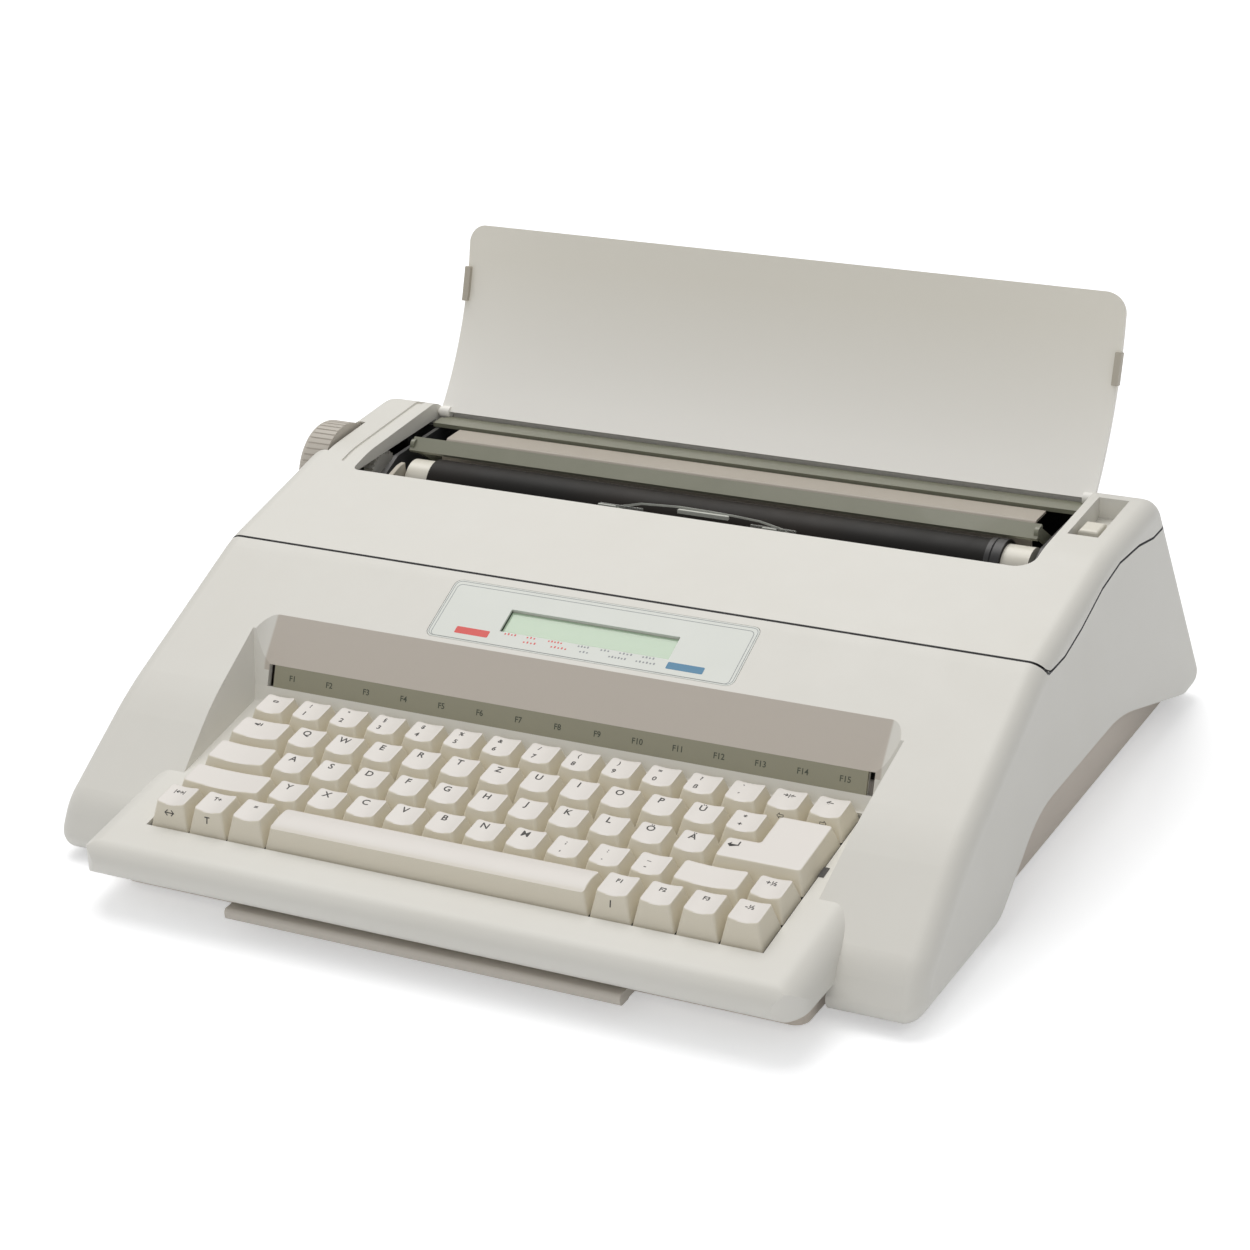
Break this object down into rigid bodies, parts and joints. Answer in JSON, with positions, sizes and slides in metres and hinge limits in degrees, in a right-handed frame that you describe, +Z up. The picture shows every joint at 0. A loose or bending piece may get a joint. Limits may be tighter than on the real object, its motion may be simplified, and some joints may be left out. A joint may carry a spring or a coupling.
{
  "type": "portable electronic typewriter",
  "caption": "Portable electronic typewriter with a tilted keyboard, a small display, a platen with a side knob, a lift-up hood and a folding paper support.",
  "frame": {"origin": "middle of the machine's footprint, on the surface the feet stand on", "axes": "+X to the machine's right, +Y to its back, +Z up"},
  "size_m": [0.4089, 0.3676, 0.1917],
  "materials": {
    "case_plastic": "fine texture",
    "key_plastic": "satin",
    "base_plastic": "fine texture",
    "support_plastic": "fine texture",
    "overlay_film": "satin",
    "label_film": "satin",
    "display_glass": "smooth",
    "platen_rubber": "ground",
    "hub_plastic": "smooth",
    "knob_plastic": "satin",
    "black_plastic": "satin",
    "gear_nylon": "smooth",
    "steel": "ground",
    "frame_metal": "satin",
    "table_metal": "satin",
    "bail_metal": "satin",
    "rubber_sheet": "matt",
    "foot_rubber": "matt",
    "board_laminate": "lacquered",
    "core_steel": "varnished",
    "belt_rubber": "matt",
    "clear_card": "smooth"
  },
  "bodies": {
    "base": {"lower_housing": "case_plastic", "base_tray": "base_plastic", "display_panel": "overlay_film", "display_module": "display_glass", "function_label_strip": "label_film", "hood_hinge_pins": "steel", "hinge_strip": "bail_metal", "key_deck": "black_plastic", "dome_sheet": "rubber_sheet", "keyboard_board": "board_laminate", "left_side_frame": "frame_metal", "right_side_frame": "frame_metal", "guide_rods": "steel", "drive_belt": "belt_rubber", "carriage_motor": "steel", "paper_table": "table_metal", "rubber_feet": "foot_rubber", "case_screws": "steel", "side_panels": "base_plastic", "main_circuit_board": "board_laminate", "transformer": "core_steel", "power_inlet": "black_plastic"},
    "hood": {"top_hood": "case_plastic"},
    "support": {"paper_support": "support_plastic"},
    "platen": {"platen_roller": "platen_rubber", "platen_hubs": "hub_plastic", "platen_shaft": "steel", "platen_knob": "knob_plastic", "platen_gear": "gear_nylon"},
    "idler": {"idler_gear": "gear_nylon"},
    "pinion": {"motor_pinion": "gear_nylon"},
    "feed": {"feed_rollers": "foot_rubber"},
    "bail": {"paper_bail": "bail_metal"},
    "lever": {"release_lever": "hub_plastic"},
    "carriage": {"carriage_frame": "black_plastic", "ribbon_cassette": "black_plastic", "card_holder": "clear_card"},
    "wheel": {"print_wheel": "black_plastic"},
    "hammer": {"print_hammer": "steel"},
    "left_pulley": {"drive_pulley": "gear_nylon"},
    "right_pulley": {"idler_pulley": "gear_nylon"},
    "handle": {"carry_handle": "support_plastic"},
    "rocker": {"power_switch": "black_plastic"},
    "code_key_body": {"code_key": "key_plastic"},
    "number_keys_body": {"number_keys": "key_plastic"},
    "relocate_key_body": {"relocate_key": "key_plastic"},
    "backspace_key_body": {"backspace_key": "key_plastic"},
    "tab_key_body": {"tab_key": "key_plastic"},
    "upper_letter_keys_body": {"upper_letter_keys": "key_plastic"},
    "caps_lock_key_body": {"caps_lock_key": "key_plastic"},
    "home_letter_keys_body": {"home_letter_keys": "key_plastic"},
    "return_key_body": {"return_key": "key_plastic"},
    "left_shift_key_body": {"left_shift_key": "key_plastic"},
    "lower_letter_keys_body": {"lower_letter_keys": "key_plastic"},
    "right_shift_key_body": {"right_shift_key": "key_plastic"},
    "line_up_key_body": {"line_up_key": "key_plastic"},
    "left_function_keys_body": {"left_function_keys": "key_plastic"},
    "space_bar_body": {"space_bar": "key_plastic"},
    "right_function_keys_body": {"right_function_keys": "key_plastic"},
    "line_down_key_body": {"line_down_key": "key_plastic"}
  },
  "joints": [
    {"name": "hood_lift", "type": "hinge", "parent": "base", "child": "hood", "pos_m": [0, 0.1476, 0.0988], "axis": [1, 0, 0], "range_deg": [-50, 0]},
    {"name": "support_fold", "type": "hinge", "parent": "hood", "child": "support", "pos_m": [0, 0.1376, 0.1086], "axis": [1, 0, 0], "range_deg": [0, 113]},
    {"name": "platen_turn", "type": "hinge", "parent": "base", "child": "platen", "pos_m": [0, 0.0865, 0.093], "axis": [1, 0, 0], "continuous": true},
    {"name": "idler_turn", "type": "hinge", "parent": "base", "child": "idler", "pos_m": [-0.1735, 0.08275, 0.07173], "axis": [1, 0, 0], "continuous": true},
    {"name": "pinion_turn", "type": "hinge", "parent": "base", "child": "pinion", "pos_m": [-0.1735, 0.08995, 0.05926], "axis": [1, 0, 0], "continuous": true},
    {"name": "feed_turn", "type": "hinge", "parent": "base", "child": "feed", "pos_m": [0, 0.09794, 0.07936], "axis": [1, 0, 0], "continuous": true},
    {"name": "bail_lift", "type": "hinge", "parent": "base", "child": "bail", "pos_m": [0, 0.114, 0.094], "axis": [1, 0, 0], "range_deg": [-60, 0]},
    {"name": "lever_pull", "type": "hinge", "parent": "base", "child": "lever", "pos_m": [0.18, 0.101, 0.084], "axis": [1, 0, 0], "range_deg": [-8, 0]},
    {"name": "carriage_travel", "type": "slide", "parent": "base", "child": "carriage", "axis": [1, 0, 0], "range_m": [-0.105, 0.105]},
    {"name": "wheel_turn", "type": "hinge", "parent": "carriage", "child": "wheel", "pos_m": [0.0035, 0.0688, 0.06], "axis": [0, 1, 0], "continuous": true},
    {"name": "hammer_strike", "type": "slide", "parent": "carriage", "child": "hammer", "axis": [0, 1, 0], "range_m": [0, 0.003], "stiffness_N_per_m": 40, "springref_m": -0.004},
    {"name": "left_pulley_turn", "type": "hinge", "parent": "base", "child": "left_pulley", "pos_m": [-0.145, 0.033, 0.0145], "axis": [0, 0, 1], "continuous": true},
    {"name": "right_pulley_turn", "type": "hinge", "parent": "base", "child": "right_pulley", "pos_m": [0.145, 0.033, 0.0145], "axis": [0, 0, 1], "continuous": true},
    {"name": "handle_pull", "type": "slide", "parent": "base", "child": "handle", "axis": [0, -1, 0], "range_m": [0, 0.04]},
    {"name": "switch_rock", "type": "hinge", "parent": "base", "child": "rocker", "pos_m": [0.139, 0.17203, 0.02869], "axis": [1, 0, 0], "range_deg": [0, 14]},
    {"name": "code_press", "type": "slide", "parent": "base", "child": "code_key_body", "axis": [0, 0.1392, -0.9903], "range_m": [0, 0.0035], "stiffness_N_per_m": 100, "springref_m": -0.004},
    {"name": "number_press", "type": "slide", "parent": "base", "child": "number_keys_body", "axis": [0, 0.1392, -0.9903], "range_m": [0, 0.0035], "stiffness_N_per_m": 1200, "springref_m": -0.004},
    {"name": "relocate_press", "type": "slide", "parent": "base", "child": "relocate_key_body", "axis": [0, 0.1392, -0.9903], "range_m": [0, 0.0035], "stiffness_N_per_m": 100, "springref_m": -0.004},
    {"name": "backspace_press", "type": "slide", "parent": "base", "child": "backspace_key_body", "axis": [0, 0.1392, -0.9903], "range_m": [0, 0.0035], "stiffness_N_per_m": 100, "springref_m": -0.004},
    {"name": "tab_press", "type": "slide", "parent": "base", "child": "tab_key_body", "axis": [0, 0.1392, -0.9903], "range_m": [0, 0.0035], "stiffness_N_per_m": 100, "springref_m": -0.004},
    {"name": "upper_letter_press", "type": "slide", "parent": "base", "child": "upper_letter_keys_body", "axis": [0, 0.1392, -0.9903], "range_m": [0, 0.0035], "stiffness_N_per_m": 1200, "springref_m": -0.004},
    {"name": "caps_lock_press", "type": "slide", "parent": "base", "child": "caps_lock_key_body", "axis": [0, 0.1392, -0.9903], "range_m": [0, 0.0035], "stiffness_N_per_m": 100, "springref_m": -0.004},
    {"name": "home_letter_press", "type": "slide", "parent": "base", "child": "home_letter_keys_body", "axis": [0, 0.1392, -0.9903], "range_m": [0, 0.0035], "stiffness_N_per_m": 1100, "springref_m": -0.004},
    {"name": "return_press", "type": "slide", "parent": "base", "child": "return_key_body", "axis": [0, 0.1392, -0.9903], "range_m": [0, 0.0035], "stiffness_N_per_m": 100, "springref_m": -0.004},
    {"name": "left_shift_press", "type": "slide", "parent": "base", "child": "left_shift_key_body", "axis": [0, 0.1392, -0.9903], "range_m": [0, 0.0035], "stiffness_N_per_m": 100, "springref_m": -0.004},
    {"name": "lower_letter_press", "type": "slide", "parent": "base", "child": "lower_letter_keys_body", "axis": [0, 0.1392, -0.9903], "range_m": [0, 0.0035], "stiffness_N_per_m": 1000, "springref_m": -0.004},
    {"name": "right_shift_press", "type": "slide", "parent": "base", "child": "right_shift_key_body", "axis": [0, 0.1392, -0.9903], "range_m": [0, 0.0035], "stiffness_N_per_m": 100, "springref_m": -0.004},
    {"name": "line_up_press", "type": "slide", "parent": "base", "child": "line_up_key_body", "axis": [0, 0.1392, -0.9903], "range_m": [0, 0.0035], "stiffness_N_per_m": 100, "springref_m": -0.004},
    {"name": "left_function_press", "type": "slide", "parent": "base", "child": "left_function_keys_body", "axis": [0, 0.1392, -0.9903], "range_m": [0, 0.0035], "stiffness_N_per_m": 300, "springref_m": -0.004},
    {"name": "space_press", "type": "slide", "parent": "base", "child": "space_bar_body", "axis": [0, 0.1392, -0.9903], "range_m": [0, 0.0035], "stiffness_N_per_m": 100, "springref_m": -0.004},
    {"name": "right_function_press", "type": "slide", "parent": "base", "child": "right_function_keys_body", "axis": [0, 0.1392, -0.9903], "range_m": [0, 0.0035], "stiffness_N_per_m": 300, "springref_m": -0.004},
    {"name": "line_down_press", "type": "slide", "parent": "base", "child": "line_down_key_body", "axis": [0, 0.1392, -0.9903], "range_m": [0, 0.0035], "stiffness_N_per_m": 100, "springref_m": -0.004}
  ],
  "couplings": [
    {"joint": "idler_turn", "follows": "platen_turn", "ratio": -1.25},
    {"joint": "pinion_turn", "follows": "platen_turn", "ratio": 2.5},
    {"joint": "feed_turn", "follows": "platen_turn", "ratio": -2.1818},
    {"joint": "left_pulley_turn", "follows": "carriage_travel", "rad_per_m": 142.86},
    {"joint": "right_pulley_turn", "follows": "carriage_travel", "rad_per_m": 142.86}
  ]
}
